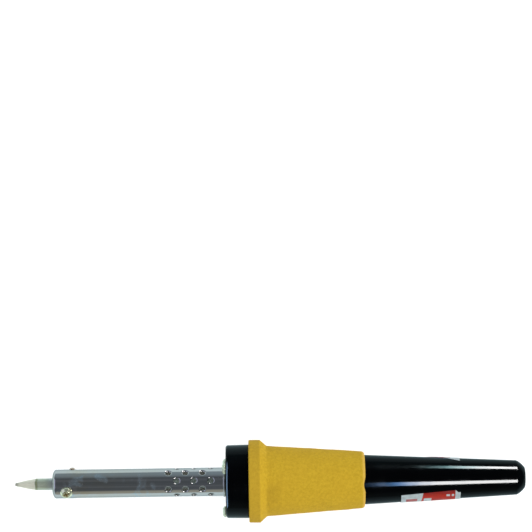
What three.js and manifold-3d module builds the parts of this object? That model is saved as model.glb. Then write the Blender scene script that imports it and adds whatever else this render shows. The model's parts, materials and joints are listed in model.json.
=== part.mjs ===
// A mains soldering iron for stained glass work, lying on a bench. Units are millimetres, +Z is up.
//
// The iron is built along its own axis. A station is a distance from the tip's point along that axis,
// and an angle goes round it, from 0 at the top towards the left side (+Y) at 90 degrees.
// The finished iron is then tilted so that it rests on the grip's flare and on the barrel's nose.

import * as THREE from "three";
import { mergeVertices } from "three/addons/utils/BufferGeometryUtils.js";
import Module from "manifold-3d";

const wasm = await Module();
wasm.setup();

// ---------------------------------------------------------------- driving dimensions

const LENGTH = 270; // from the tip's point to the handle's end
const GAP = 0.3; // air between pieces that touch on the real iron
const FINE_GAP = 0.15; // air between coaxial pieces whose facets line up

const SIDES = 48; // facets round the handle and grip
const BARREL_SIDES = 30;
const SMALL_SIDES = 24; // facets round the pieces inside the barrel
const HOLE_SIDES = 12;

const TIP = { pointRadius: 0.35, coneEnd: 11.4, coneRadius: 2.9, radius: 3, end: 58 };
const TIP_EDGES = { step: 0.15, chamfer: 0.6 };
const BARREL = { nose: 19.8, rear: 113.5, radius: 7.5, wall: 0.6, noseRounding: 2.1 };
const BEAD = { start: 110.2, length: 1.1 }; // the rolled ring in front of the flange plate
const RIM = { radius: 9.2, thickness: 0.6 }; // the barrel's turned-out rear end, behind the plate
const VENT = { radius: 2.1, columns: 10, firstAngle: 5.8, pitch: 9, perColumn: 3, start: 85.7, sides: 10 };
const HOLDER = { start: 20.9, end: 33.2, radius: 6.6, chamfer: 1.5, rivetHoleDepth: 2.2 };
const SCREW = { headRadius: 2.95, shankRadius: 1.5, pointChamfer: 0.3 }; // M3, for the tip and the flange
const RECESS = { reach: 1.6, width: 0.7, depth: 1 }; // the cross in a screw's head
const TIP_SCREW = { station: 27.6, angle: -35, headHeight: 2 };
const FLANGE_SCREW = { angles: [25, 145, -95], circleRadius: 15.9, headHeight: 1.7, end: 121.2 };
const FLANGE_HOLE = { plateRadius: 1.75, handleRadius: 1.8, sides: 16, spareDepth: 0.4 };
const RIVET = { station: 30.4, angle: 90, headRadius: 1.55, headHeight: 1, shankRadius: 0.9, length: 2.6 };
const CORE = { start: 33.6, end: 71.6, radius: 3.75, bore: 3.2 }; // the heater's ceramic former
const WINDING = { start: 38.4, end: 66, radius: 4.3, wireRadius: 0.25, turns: 9, stepsPerTurn: 12 };
const MICA = { start: 40, end: 67.4, bore: 4.8, thickness: 0.25 };
const INSULATOR = { start: 72, end: 78, radius: 6.6, leadHole: 0.65 };
const LEAD = { radius: 0.35, offset: 4.3, returnOffset: 5.6, end: 157 };
const SLEEVE = { start: 79, end: 140, bore: 0.65, radius: 1.15 };
const PLATE = { front: 111.6, thickness: 1, radius: 18, holeChamfer: 0.5 };
const COLLAR = { frontRadius: 19.2, rearRadius: 19.4, end: 123.3, rounding: 0.9 };
const HANDLE = { shoulder: 186.8, shoulderRadius: 13, cornerStation: 264.5, cornerRadius: 9.1 };
const HOLLOW = { frontEnd: 123, frontRadius: 11.5, midStation: 180, midRadius: 10, end: 262, endRadius: 6.2 };
const HANDLE_END = { dome: [[268, 6.8], [269.4, 6.4]], flatRadius: 5.8, hole: 4.9 };
const GRIP = { flareRadius: 21.75, flareEnd: 129.1, flareRounding: 0.8, coneEnd: 133.4, frontRadius: 18.45 };
const GRIP_REAR = { end: 185.2, radius: 15, rounding: 1.3 };
const BLOCK = { start: 152, end: 166, halfWidth: 9, bottom: -3.6, top: 4.4, pitch: 6, wellRadius: 1.7 };
const INSERT = { radius: 2.2, bore: 1.1, inset: 1, screwHole: 1.35, screwInset: 3.2, sides: 16 };
const TERMINAL_SCREW = { headRadius: 1.4, shankRadius: 1.05, headHeight: 1, top: 3.6, bottom: 0.7 };
const SCREW_SLOT = { halfLength: 2, halfWidth: 0.25, depth: 0.5 };
const EARTH = { angle: 85, tagWidth: 4, tagThickness: 0.5, tagInner: 9.9, tagOuter: 14.8, wireRadius: 0.5 };
const BUSH = { inner: 3.6, radius: 4.6, flangeRadius: 5.8, flangeStart: 259.1, flangeEnd: 261.7, end: 269.7 };
const BUSH_CHAMFER = 0.5;
const LABEL = { start: 203.7, end: 236.1, clearance: 0.15, thickness: 0.2, stepsAround: 24, stepsAlong: 6 };
const LABEL_ANGLES = { first: [-44, -34], last: [-234, -302] }; // at the label's start and at its end

const radians = THREE.MathUtils.degToRad;
const taper = (HANDLE.shoulderRadius - HANDLE.cornerRadius) / (HANDLE.cornerStation - HANDLE.shoulder);
const handleRadius = (station) => HANDLE.shoulderRadius - taper * (station - HANDLE.shoulder);

// ---------------------------------------------------------------- solids

// Points [station, radius] on a quarter or other arc, from one angle to another in degrees.
function arc(station, radius, size, from, to, steps = 3) {
  return Array.from({ length: steps + 1 }, (_, i) => {
    const turn = radians(from + ((to - from) * i) / steps);
    return [station + size * Math.cos(turn), radius + size * Math.sin(turn)];
  });
}

// A turned piece from its outline of [station, radius] points, which closes on itself or on the axis.
// A facet, not an edge, faces straight down, so a turned piece lies flat.
function turned(outline, sides = SIDES) {
  const closed = outline[0][1] > 0 ? [...outline, outline[0]] : outline;
  const points = closed.map(([station, radius]) => new THREE.Vector2(radius, station));
  return new THREE.LatheGeometry(points, sides, Math.PI / sides).rotateZ(-Math.PI / 2);
}

// A plain tube from one station to another.
const tube = (start, end, bore, radius, sides = SIDES) =>
  turned([[start, bore], [start, radius], [end, radius], [end, bore]], sides);

// A rod along the axis direction, and the same standing up along +Z for radial holes and screws.
const rod = (start, end, radius, sides = SMALL_SIDES) =>
  turned([[start, 0], [start, radius], [end, radius], [end, 0]], sides);
const upright = (geometry) => geometry.rotateY(-Math.PI / 2);

const box = (stations, ys, zs) =>
  new THREE.BoxGeometry(stations[1] - stations[0], ys[1] - ys[0], zs[1] - zs[0]).translate(
    (stations[0] + stations[1]) / 2,
    (ys[0] + ys[1]) / 2,
    (zs[0] + zs[1]) / 2,
  );

// A shape built standing along +Z, moved out to a station and turned to an angle round the iron.
const atAngle = (geometry, station, angle) => geometry.rotateX(-radians(angle)).translate(station, 0, 0);

function solidOf(geometry) {
  const bare = geometry.clone();
  bare.deleteAttribute("normal");
  bare.deleteAttribute("uv");
  const merged = mergeVertices(bare, 1e-4);
  return new wasm.Manifold(
    new wasm.Mesh({
      numProp: 3,
      vertProperties: merged.attributes.position.array,
      triVerts: new Uint32Array(merged.index.array),
    }),
  );
}

function geometryOf(solid) {
  const mesh = solid.getMesh();
  const geometry = new THREE.BufferGeometry();
  geometry.setAttribute("position", new THREE.BufferAttribute(mesh.vertProperties, 3));
  geometry.setIndex(new THREE.BufferAttribute(mesh.triVerts, 1));
  return geometry;
}

const cut = (geometry, tools) =>
  geometryOf(tools.reduce((body, tool) => body.subtract(solidOf(tool)), solidOf(geometry)));

// A wire along a curve, with a section of a few sides.
function wire(path, radius, steps, sides = 6) {
  const corners = Array.from({ length: sides }, (_, i) => {
    const turn = (2 * Math.PI * i) / sides;
    return new THREE.Vector2(radius * Math.cos(turn), radius * Math.sin(turn));
  });
  const section = new THREE.Shape(corners);
  return new THREE.ExtrudeGeometry(section, { steps, extrudePath: path, bevelEnabled: false });
}

// A smooth path through points, without the bulges that a looser curve has beside its bends.
const through = (points) => new THREE.CatmullRomCurve3(points, false, "centripetal");

// A pan head with a rounded edge and a cross recess, on a plain shank that runs along +X from the seat.
function panScrew(headHeight, shankLength) {
  const { headRadius, shankRadius, pointChamfer } = SCREW;
  const { reach, width, depth } = RECESS;
  const rounding = 0.45 * headHeight;
  const outline = [
    [-headHeight, 0],
    ...arc(rounding - headHeight, headRadius - rounding, rounding, 180, 90),
    [0, headRadius],
    [0, shankRadius],
    [shankLength - pointChamfer, shankRadius],
    [shankLength, shankRadius - pointChamfer],
    [shankLength, 0],
  ];
  const recess = [-headHeight - 1, depth - headHeight];
  return cut(turned(outline, SMALL_SIDES), [
    box(recess, [-reach, reach], [-width / 2, width / 2]),
    box(recess, [-width / 2, width / 2], [-reach, reach]),
  ]);
}

// A hole through a wall of a radius, for a rod standing out from the axis.
const wallHole = (wallRadius, radius, sides = HOLE_SIDES) =>
  upright(rod(wallRadius - 2, wallRadius + 2, radius, sides));

// ---------------------------------------------------------------- materials

const chrome = { color: 0xb4c2c2, roughness: 0.16, metalness: 1 };
const steel = { color: 0x9aa19d, roughness: 0.35, metalness: 1 };
const platedTip = { color: 0xbec0b2, roughness: 0.38, metalness: 0.9 };
const brass = { color: 0xc9a24e, roughness: 0.25, metalness: 1 };
const zinc = { color: 0xbcc5b1, roughness: 0.28, metalness: 1 };
const nichrome = { color: 0x6c6660, roughness: 0.5, metalness: 1 };
const ceramic = { color: 0xe9e4d8, roughness: 0.6, metalness: 0 };
const mica = { color: 0xb59a6c, roughness: 0.3, metalness: 0 };
const sleeving = { color: 0xddd8c8, roughness: 0.9, metalness: 0 };
const blackGloss = { color: 0x08090b, roughness: 0.18, metalness: 0 };
const yellowFoam = { color: 0xc8a42f, roughness: 0.92, metalness: 0 };
const nylon = { color: 0xe6e3da, roughness: 0.5, metalness: 0 };
const greenWire = { color: 0x4f9a3c, roughness: 0.5, metalness: 0 };
const blackRubber = { color: 0x101112, roughness: 0.65, metalness: 0 };
const paper = { color: 0xd7dfd8, roughness: 0.45, metalness: 0 };

const iron = new THREE.Group();

function addPiece(name, geometry, look) {
  const mesh = new THREE.Mesh(geometry, new THREE.MeshStandardMaterial(look));
  mesh.name = name;
  iron.add(mesh);
}

// ---------------------------------------------------------------- soldering tip

function solderingTip() {
  const { pointRadius, coneEnd, coneRadius, radius, end } = TIP;
  const { step, chamfer } = TIP_EDGES;
  const outline = [
    [0, 0],
    ...arc(pointRadius, 0, pointRadius, 180, 105, 2).slice(1),
    [coneEnd, coneRadius],
    [coneEnd + step, radius],
    [end - chamfer, radius],
    [end, radius - chamfer],
    [end, 0],
  ];
  return turned(outline, SMALL_SIDES);
}

addPiece("soldering_tip", solderingTip(), platedTip);

// ---------------------------------------------------------------- barrel

// Ten columns of vent holes, with every other column half a pitch nearer the nose.
function ventHoles() {
  const holes = [];
  for (let column = 0; column < VENT.columns; column += 1) {
    const angle = VENT.firstAngle + (360 / VENT.columns) * column;
    const start = VENT.start - (column % 2) * (VENT.pitch / 2);
    for (let i = 0; i < VENT.perColumn; i += 1) {
      const hole = wallHole(BARREL.radius, VENT.radius, VENT.sides);
      holes.push(atAngle(hole, start + VENT.pitch * i, angle));
    }
  }
  return holes;
}

function barrel() {
  const { nose, rear, radius, wall, noseRounding } = BARREL;
  const noseHole = TIP.radius + GAP;
  const inner = radius - wall;
  const outline = [
    [nose, noseHole],
    ...arc(nose + noseRounding, radius - noseRounding, noseRounding, 180, 90, 4),
    [BEAD.start, radius],
    ...arc(BEAD.start + BEAD.length / 2, radius, BEAD.length / 2, 180, 0, 4).slice(1, -1),
    [BEAD.start + BEAD.length, radius],
    [rear - RIM.thickness, radius],
    [rear - RIM.thickness, RIM.radius],
    [rear, RIM.radius],
    [rear, inner],
    ...arc(nose + noseRounding, radius - noseRounding, noseRounding - wall, 90, 180),
    [nose + wall, noseHole],
  ];
  return cut(turned(outline, BARREL_SIDES), [
    ...ventHoles(),
    atAngle(wallHole(radius, SCREW.shankRadius + GAP), TIP_SCREW.station, TIP_SCREW.angle),
    atAngle(wallHole(radius, RIVET.shankRadius + GAP), RIVET.station, RIVET.angle),
  ]);
}

addPiece("barrel", barrel(), chrome);

// ---------------------------------------------------------------- tip holder and its fasteners

function tipHolder() {
  const { start, end, radius, chamfer, rivetHoleDepth } = HOLDER;
  const bore = TIP.radius + FINE_GAP;
  const outline = [
    [start, bore],
    [start, radius - chamfer],
    [start + chamfer, radius],
    [end, radius],
    [end, bore],
  ];
  const screwHole = upright(rod(0, radius + 1, SCREW.shankRadius + FINE_GAP));
  const rivetHole = upright(rod(radius - rivetHoleDepth, radius + 1, RIVET.shankRadius + GAP, HOLE_SIDES));
  return cut(turned(outline, SMALL_SIDES), [
    atAngle(screwHole, TIP_SCREW.station, TIP_SCREW.angle),
    atAngle(rivetHole, RIVET.station, RIVET.angle),
  ]);
}

const barrelSeat = BARREL.radius + FINE_GAP; // what the heads on the barrel stand on

function tipScrew() {
  const { station, angle, headHeight } = TIP_SCREW;
  const shankLength = barrelSeat - (TIP.radius + GAP);
  const screw = panScrew(headHeight, shankLength).rotateY(Math.PI / 2);
  return atAngle(screw.translate(0, 0, barrelSeat), station, angle);
}

function holderRivet() {
  const { station, angle, headRadius, headHeight, shankRadius, length } = RIVET;
  const outline = [
    [-headHeight, 0],
    [-0.85 * headHeight, 0.6 * headRadius],
    [-0.5 * headHeight, 0.9 * headRadius],
    [0, headRadius],
    [0, shankRadius],
    [length, shankRadius],
    [length, 0],
  ];
  const rivet = turned(outline, HOLE_SIDES).rotateY(Math.PI / 2);
  return atAngle(rivet.translate(0, 0, barrelSeat), station, angle);
}

addPiece("tip_holder", tipHolder(), steel);
addPiece("tip_screw", tipScrew(), brass);
addPiece("holder_rivet", holderRivet(), brass);

// ---------------------------------------------------------------- heater

// The resistance wire, wound evenly along the ceramic former.
class Coil extends THREE.Curve {
  getPoint(t, target = new THREE.Vector3()) {
    const { start, end, radius, turns } = WINDING;
    const turn = 2 * Math.PI * turns * t - Math.PI / 2;
    return target.set(start + (end - start) * t, radius * Math.sin(turn), radius * Math.cos(turn));
  }
}

function heaterWinding() {
  const { wireRadius, turns, stepsPerTurn } = WINDING;
  return wire(new Coil(), wireRadius, stepsPerTurn * turns, 5);
}

function insulator() {
  const { start, end, radius, leadHole } = INSULATOR;
  const holes = [1, -1].map((side) =>
    rod(start - 1, end + 1, leadHole, HOLE_SIDES).translate(0, side * LEAD.offset, 0),
  );
  return cut(rod(start, end, radius), holes);
}

addPiece("heater_core", tube(CORE.start, CORE.end, CORE.bore, CORE.radius, SMALL_SIDES), ceramic);
addPiece("heater_winding", heaterWinding(), nichrome);
addPiece("mica_sleeve", tube(MICA.start, MICA.end, MICA.bore, MICA.bore + MICA.thickness, SMALL_SIDES), mica);
addPiece("ceramic_insulator", insulator(), ceramic);

// ---------------------------------------------------------------- leads, sleeves and terminal block

const at = (station, y, z = 0) => new THREE.Vector3(station, y, z);

// Straight from the heater to the handle, then out to its own way in the terminal block.
function leadPath(side, ...startPoints) {
  const straightStations = [SLEEVE.start, SLEEVE.end - 3, SLEEVE.end, SLEEVE.end + 2];
  return [
    ...startPoints,
    ...straightStations.map((station) => at(station, side * LEAD.offset)),
    at(BLOCK.start - 2, side * BLOCK.pitch),
    at(LEAD.end, side * BLOCK.pitch),
  ];
}

// One lead starts at the winding's rear end. The other comes back over the mica from its front end.
const rearLead = leadPath(1, at(67.4, LEAD.offset), at(72, LEAD.offset));
const frontLead = leadPath(
  -1,
  at(37.2, -4.5),
  at(37.8, -5.1),
  at(38.9, -LEAD.returnOffset),
  at(54, -LEAD.returnOffset),
  at(67.5, -LEAD.returnOffset),
  at(70.6, -LEAD.offset),
  at(72.5, -LEAD.offset),
);

addPiece("lead_wire_1", wire(through(rearLead), LEAD.radius, 30), nichrome);
addPiece("lead_wire_2", wire(through(frontLead), LEAD.radius, 60), nichrome);

[1, -1].forEach((side, i) => {
  const sleeve = tube(SLEEVE.start, SLEEVE.end, SLEEVE.bore, SLEEVE.radius, HOLE_SIDES);
  addPiece(`lead_sleeve_${i + 1}`, sleeve.translate(0, side * LEAD.offset, 0), sleeving);
});

const ways = [1, -1, 0]; // one for each heater lead, and the earth between them
const screwStations = [BLOCK.start + INSERT.screwInset, BLOCK.end - INSERT.screwInset];

function terminalBlock() {
  const { start, end, halfWidth, bottom, top, pitch, wellRadius } = BLOCK;
  const well = (station) => upright(rod(0, top + 1, wellRadius, HOLE_SIDES)).translate(station, 0, 0);
  const tools = ways.flatMap((way) => {
    const insertHole = rod(start - 1, end + 1, INSERT.radius + GAP, INSERT.sides);
    return [insertHole, ...screwStations.map(well)].map((tool) => tool.translate(0, way * pitch, 0));
  });
  return cut(box([start, end], [-halfWidth, halfWidth], [bottom, top]), tools);
}

function terminalInsert(way) {
  const { radius, bore, inset, screwHole, sides } = INSERT;
  const body = tube(BLOCK.start + inset, BLOCK.end - inset, bore, radius, sides);
  const hole = (station) => upright(rod(0, radius + 1, screwHole, HOLE_SIDES)).translate(station, 0, 0);
  return cut(body, screwStations.map(hole)).translate(0, way * BLOCK.pitch, 0);
}

function terminalScrew(way, station) {
  const { headRadius, shankRadius, headHeight, top, bottom } = TERMINAL_SCREW;
  const { halfLength, halfWidth, depth } = SCREW_SLOT;
  const outline = [
    [bottom, 0],
    [bottom, shankRadius],
    [top - headHeight, shankRadius],
    [top - headHeight, headRadius],
    [top, headRadius],
    [top, 0],
  ];
  const slot = box([top - depth, top + 1], [-halfLength, halfLength], [-halfWidth, halfWidth]);
  return upright(cut(turned(outline, HOLE_SIDES), [slot])).translate(station, way * BLOCK.pitch, 0);
}

addPiece("terminal_block", terminalBlock(), nylon);
ways.forEach((way, i) => {
  addPiece(`terminal_insert_${i + 1}`, terminalInsert(way), brass);
  screwStations.forEach((station, j) => {
    addPiece(`terminal_screw_${2 * i + j + 1}`, terminalScrew(way, station), zinc);
  });
});

// ---------------------------------------------------------------- flange plate, screws and earth

const plateBack = PLATE.front + PLATE.thickness;
const seatStation = plateBack + GAP; // the recess floor in the collar

// A point on the circle of the flange screws, or at another radius on the same angles.
const onCircle = (station, radius, angle) =>
  at(station, radius * Math.sin(radians(angle)), radius * Math.cos(radians(angle)));

const flangeHoles = (start, end, radius) =>
  FLANGE_SCREW.angles.map((angle) => {
    const spot = onCircle(0, FLANGE_SCREW.circleRadius, angle);
    return rod(start, end, radius, FLANGE_HOLE.sides).translate(0, spot.y, spot.z);
  });

// A stamped ring, with the edge of its middle hole eased to clear the barrel's bead.
function flangePlate() {
  const { front, radius, holeChamfer } = PLATE;
  const hole = BARREL.radius + GAP;
  const outline = [
    [front, hole + holeChamfer],
    [front, radius],
    [plateBack, radius],
    [plateBack, hole],
    [front + holeChamfer, hole],
  ];
  return cut(turned(outline), flangeHoles(front - 1, seatStation + 1, FLANGE_HOLE.plateRadius));
}

function flangeScrew(angle) {
  const seat = PLATE.front - FINE_GAP;
  const spot = onCircle(seat, FLANGE_SCREW.circleRadius, angle);
  return panScrew(FLANGE_SCREW.headHeight, FLANGE_SCREW.end - seat).translate(spot.x, spot.y, spot.z);
}

// A tab spot-welded to the back of the plate, with its wire running to the block's middle way.
function earthTag() {
  const start = plateBack + FINE_GAP;
  const { angle, tagWidth, tagThickness, tagInner, tagOuter } = EARTH;
  const tab = box([start, start + tagThickness], [-tagWidth / 2, tagWidth / 2], [tagInner, tagOuter]);
  return atAngle(tab, 0, angle);
}

function earthWire() {
  const start = plateBack + FINE_GAP + EARTH.tagThickness + EARTH.wireRadius + GAP;
  const path = through([
    onCircle(start, EARTH.tagInner + 0.8, EARTH.angle),
    onCircle(start + 1.5, EARTH.tagInner - 0.6, EARTH.angle),
    at(122, 8.2, 1.6),
    at(132, 5, 4.6),
    at(142, 1.2, 3.6),
    at(BLOCK.start - 2, 0, 0.3),
    at(BLOCK.start + 0.5, 0, 0),
    at(LEAD.end, 0, 0),
  ]);
  return wire(path, EARTH.wireRadius, 28);
}

addPiece("flange_plate", flangePlate(), steel);
FLANGE_SCREW.angles.forEach((angle, i) => addPiece(`flange_screw_${i + 1}`, flangeScrew(angle), zinc));
addPiece("earth_tag", earthTag(), brass);
addPiece("earth_wire", earthWire(), greenWire);

// ---------------------------------------------------------------- handle, grip, inlet bush and label

// One black moulding: the collar in front, the tapered body behind it and the wall round the cord's hole.
function handle() {
  const { rounding, frontRadius, rearRadius, end } = COLLAR;
  const recessRadius = PLATE.radius + GAP;
  const { dome, flatRadius, hole } = HANDLE_END;
  const body = turned([
    [seatStation, HOLLOW.frontRadius],
    [seatStation, recessRadius],
    [PLATE.front, recessRadius],
    ...arc(PLATE.front + rounding, frontRadius - rounding, rounding, 180, 90),
    [end, rearRadius],
    [end, handleRadius(end)],
    [HANDLE.cornerStation, HANDLE.cornerRadius],
    ...dome,
    [LENGTH, flatRadius],
    [LENGTH, hole],
    [HOLLOW.end, hole],
    [HOLLOW.end, HOLLOW.endRadius],
    [HOLLOW.midStation, HOLLOW.midRadius],
    [HOLLOW.frontEnd, HOLLOW.frontRadius],
  ]);
  const pocketHalfWidth = EARTH.tagWidth / 2 + GAP;
  const pocket = box(
    [seatStation - 1, seatStation + EARTH.tagThickness + 2 * GAP],
    [-pocketHalfWidth, pocketHalfWidth],
    [HOLLOW.frontRadius - 2, EARTH.tagOuter + GAP],
  );
  const screwHoleEnd = FLANGE_SCREW.end + FLANGE_HOLE.spareDepth;
  const screwHoles = flangeHoles(seatStation - 1, screwHoleEnd, FLANGE_HOLE.handleRadius);
  return cut(body, [...screwHoles, atAngle(pocket, 0, EARTH.angle)]);
}

const gripStart = COLLAR.end + GAP;

// The foam sleeve pushed over the handle, with a flared front end that keeps the fingers off the collar.
function grip() {
  const { flareRadius, flareEnd, flareRounding, coneEnd, frontRadius } = GRIP;
  const { end, radius, rounding } = GRIP_REAR;
  return turned([
    [gripStart, handleRadius(gripStart) + GAP],
    ...arc(gripStart + flareRounding, flareRadius - flareRounding, flareRounding, 180, 90, 2),
    [flareEnd, flareRadius],
    [coneEnd, frontRadius],
    ...arc(end - rounding, radius - rounding, rounding, 86, 0),
    [end, handleRadius(end) + GAP],
  ]);
}

function inletBush() {
  const { inner, radius, flangeRadius, flangeStart, flangeEnd, end } = BUSH;
  const outline = [
    [flangeStart, inner],
    [flangeStart, flangeRadius],
    [flangeEnd, flangeRadius],
    [flangeEnd, radius],
    [end, radius],
    [end, inner + BUSH_CHAMFER],
    [end - BUSH_CHAMFER, inner],
  ];
  return turned(outline, SMALL_SIDES);
}

// A thin skin wrapped round the handle's far side, closed on all its edges, with both ends cut on a slant.
function label() {
  const { start, end, clearance, thickness, stepsAround: across, stepsAlong: along } = LABEL;
  const { lerp } = THREE.MathUtils;
  const vertices = [];
  const faces = [];
  for (const height of [clearance, clearance + thickness]) {
    for (let i = 0; i <= along; i += 1) {
      const station = lerp(start, end, i / along);
      const first = lerp(...LABEL_ANGLES.first, i / along);
      const last = lerp(...LABEL_ANGLES.last, i / along);
      for (let j = 0; j <= across; j += 1) {
        const spot = onCircle(station, handleRadius(station) + height, lerp(first, last, j / across));
        vertices.push(spot.x, spot.y, spot.z);
      }
    }
  }
  const layer = (along + 1) * (across + 1);
  const index = (level, i, j) => level * layer + i * (across + 1) + j;
  const quad = (a, b, c, d) => faces.push(a, b, c, a, c, d);
  for (let i = 0; i < along; i += 1) {
    for (let j = 0; j < across; j += 1) {
      quad(index(0, i + 1, j), index(0, i + 1, j + 1), index(0, i, j + 1), index(0, i, j));
      quad(index(1, i + 1, j), index(1, i, j), index(1, i, j + 1), index(1, i + 1, j + 1));
    }
    quad(index(0, i, 0), index(1, i, 0), index(1, i + 1, 0), index(0, i + 1, 0));
    quad(index(0, i, across), index(0, i + 1, across), index(1, i + 1, across), index(1, i, across));
  }
  for (let j = 0; j < across; j += 1) {
    quad(index(0, 0, j), index(0, 0, j + 1), index(1, 0, j + 1), index(1, 0, j));
    quad(index(0, along, j), index(1, along, j), index(1, along, j + 1), index(0, along, j + 1));
  }
  const geometry = new THREE.BufferGeometry();
  geometry.setAttribute("position", new THREE.Float32BufferAttribute(vertices, 3));
  geometry.setIndex(faces);
  return geometry;
}

addPiece("handle", handle(), blackGloss);
addPiece("grip", grip(), yellowFoam);
addPiece("cord_inlet_bush", inletBush(), blackRubber);
addPiece("label", label(), paper);

// ---------------------------------------------------------------- lying on the bench

// The weight lies in front of the flare, so the iron rests on the flare's front edge and the barrel's nose.
const flareTouch = gripStart + GRIP.flareRounding;
const noseTouch = BARREL.nose + BARREL.noseRounding;
iron.rotation.y = -Math.atan2(GRIP.flareRadius - BARREL.radius, flareTouch - noseTouch);

const group = new THREE.Group();
group.add(iron);
const extent = new THREE.Box3().setFromObject(group, true);
const middle = extent.getCenter(new THREE.Vector3());
iron.position.set(-middle.x, -middle.y, -extent.min.z);

export default group;
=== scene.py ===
"""Looks of a mains soldering iron for stained glass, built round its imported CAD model.

Pieces are made in the iron's own axes: x is the station, the distance from the tip's point, y is the iron's
left and z its top. Sizes are in millimetres, and angles round the iron go from the top towards the left.
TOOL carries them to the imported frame.
"""

import json
import math

import bmesh
import bpy
from mathutils import Matrix, Vector, noise


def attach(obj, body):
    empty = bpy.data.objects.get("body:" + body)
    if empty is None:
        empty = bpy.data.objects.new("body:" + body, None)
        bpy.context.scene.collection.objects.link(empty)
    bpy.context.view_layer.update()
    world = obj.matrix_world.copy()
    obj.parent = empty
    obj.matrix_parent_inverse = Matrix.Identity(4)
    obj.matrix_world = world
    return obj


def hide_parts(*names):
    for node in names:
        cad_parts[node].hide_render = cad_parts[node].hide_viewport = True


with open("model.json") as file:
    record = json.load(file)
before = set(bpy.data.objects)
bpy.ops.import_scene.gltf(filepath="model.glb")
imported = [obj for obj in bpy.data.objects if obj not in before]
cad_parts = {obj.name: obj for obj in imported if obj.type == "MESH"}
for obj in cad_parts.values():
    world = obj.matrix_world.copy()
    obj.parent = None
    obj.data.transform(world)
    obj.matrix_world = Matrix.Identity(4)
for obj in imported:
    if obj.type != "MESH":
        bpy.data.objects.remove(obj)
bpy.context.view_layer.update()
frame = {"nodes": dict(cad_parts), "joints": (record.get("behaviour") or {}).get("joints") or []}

MM = 0.001

# ---- the iron's own axes, from the frame

tip_slide = next(j for j in frame["joints"] if j["name"] == "tip_slide")
along = -Vector(tip_slide["axis"]).normalized()
left = Vector((0, 1, 0))
top = along.cross(left)
tip_points = [v.co.copy() for v in frame["nodes"]["soldering_tip"].data.vertices]
point = min(tip_points, key=lambda co: co.dot(along))
TOOL = Matrix((along, left, top)).transposed().to_4x4()
TOOL.translation = point

# ---- sizes of the fine pieces, all near the CAD model's

LENGTH = 270
TIP = {"start": 0.2, "point_radius": 0.75, "cone_end": 10.7, "cone_radius": 2.95, "radius": 3.05, "end": 58}
BARREL = {"nose": 20, "rear": 113.5, "radius": 7.5, "wall": 0.6, "dome": 1.9, "hole": 3.3, "rim": 9.2}
SLEEVE = {"start": 31, "end": 33, "lift": 0.12}
BEAD = {"start": 110.2, "length": 1.1, "height": 0.55}
VENT = {"inner": 1.35, "flare": 0.95, "columns": 10, "angle": 5.8, "pitch": 9, "per_column": 3, "start": 85.7}
TIP_SCREW = {"station": 27.6, "angle": -35, "head": 3.15, "height": 2.2, "shank": 1.5, "turned": 20}
RIVET = {"station": 30.4, "angle": 90, "head": 1.55, "height": 1, "shank": 0.9, "length": 2.6}
PLATE = {"front": 111.6, "thickness": 1, "radius": 18}
FLANGE_SCREW = {"circle": 15.9, "head": 2.95, "height": 1.7, "shank": 1.5, "end": 121.2}
FLANGE_ANGLES = (25, 145, -95)
FLANGE_HOLE = {"plate": 1.75, "handle": 1.8, "end": 121.6}
COLLAR = {"front": 19.2, "rear": 19.4, "end": 123.6, "rounding": 1.25}
# (station, radius) of the handle's outside at both ends of its taper, and of its hollow from the front
SHOULDER = (186.8, 13)
CORNER = (264.9, 9.1)
HOLLOW = ((123, 11.5), (180, 10), (262, 6.2))
END_HOLE = 4.9
DOME = {"radius": 11, "lean": 25, "end": 56}
INLET = {"start": 259.1, "flange_end": 261.7, "end": 269.6, "bore": 3.6, "radius": 4.6, "flange": 5.8}
LABEL = {"start": 203.7, "end": 234.9, "lift": 0.16, "thickness": 0.12}
# angles of the label's two long edges, each at its start and at its end
LABEL_EDGES = ((-44, -34), (-226, -302))
LABEL_CORNER = {"share": 0.93, "cut": 8}
GRIP = {"start": 123.65, "flare_end": 129.5, "cone_end": 133.2, "end": 184.8}
GRIP_RADIUS = {"flare": 21.8, "front": 18.45, "rear": 15}
GRIP_EDGE = {"depth": 2.1, "drop": 1.4}
GRIP_DENT = {"depth": 0.8, "side": -3, "width": 3.2}
INNER_RINGS = {
    "heater_core": {"start": 33.6, "end": 71.6, "bore": 3.2, "radius": 3.75, "fillet": 0.1},
    "mica_sleeve": {"start": 40, "end": 67.4, "bore": 4.8, "radius": 5.05, "fillet": 0.05},
    "lead_sleeve": {"start": 79, "end": 140, "bore": 0.65, "radius": 1.15, "fillet": 0.1},
}
LEAD_OFFSET = 4.3
WINDING = {"start": 38.4, "end": 66, "turns": 30, "radius": 4.3, "wire": 0.25}
SEAT_GAP = 0.15
GAP = 0.3


def handle_radius(station):
    """Radius of the handle's straight taper at a station."""
    slope = (SHOULDER[1] - CORNER[1]) / (CORNER[0] - SHOULDER[0])
    return SHOULDER[1] - slope * (station - SHOULDER[0])


# ---- meshes


def round_spot(station, turn, radius):
    """The spot at a station, an angle in radians and a distance from the axis."""
    return Vector((station, radius * math.sin(turn), radius * math.cos(turn)))


def quarter(steps):
    """Angles in radians from nothing to a quarter turn."""
    return [math.pi / 2 * k / steps for k in range(steps + 1)]


def linked(name, data):
    """A new object in the scene."""
    thing = bpy.data.objects.new(name, data)
    bpy.context.scene.collection.objects.link(thing)
    return thing


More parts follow.
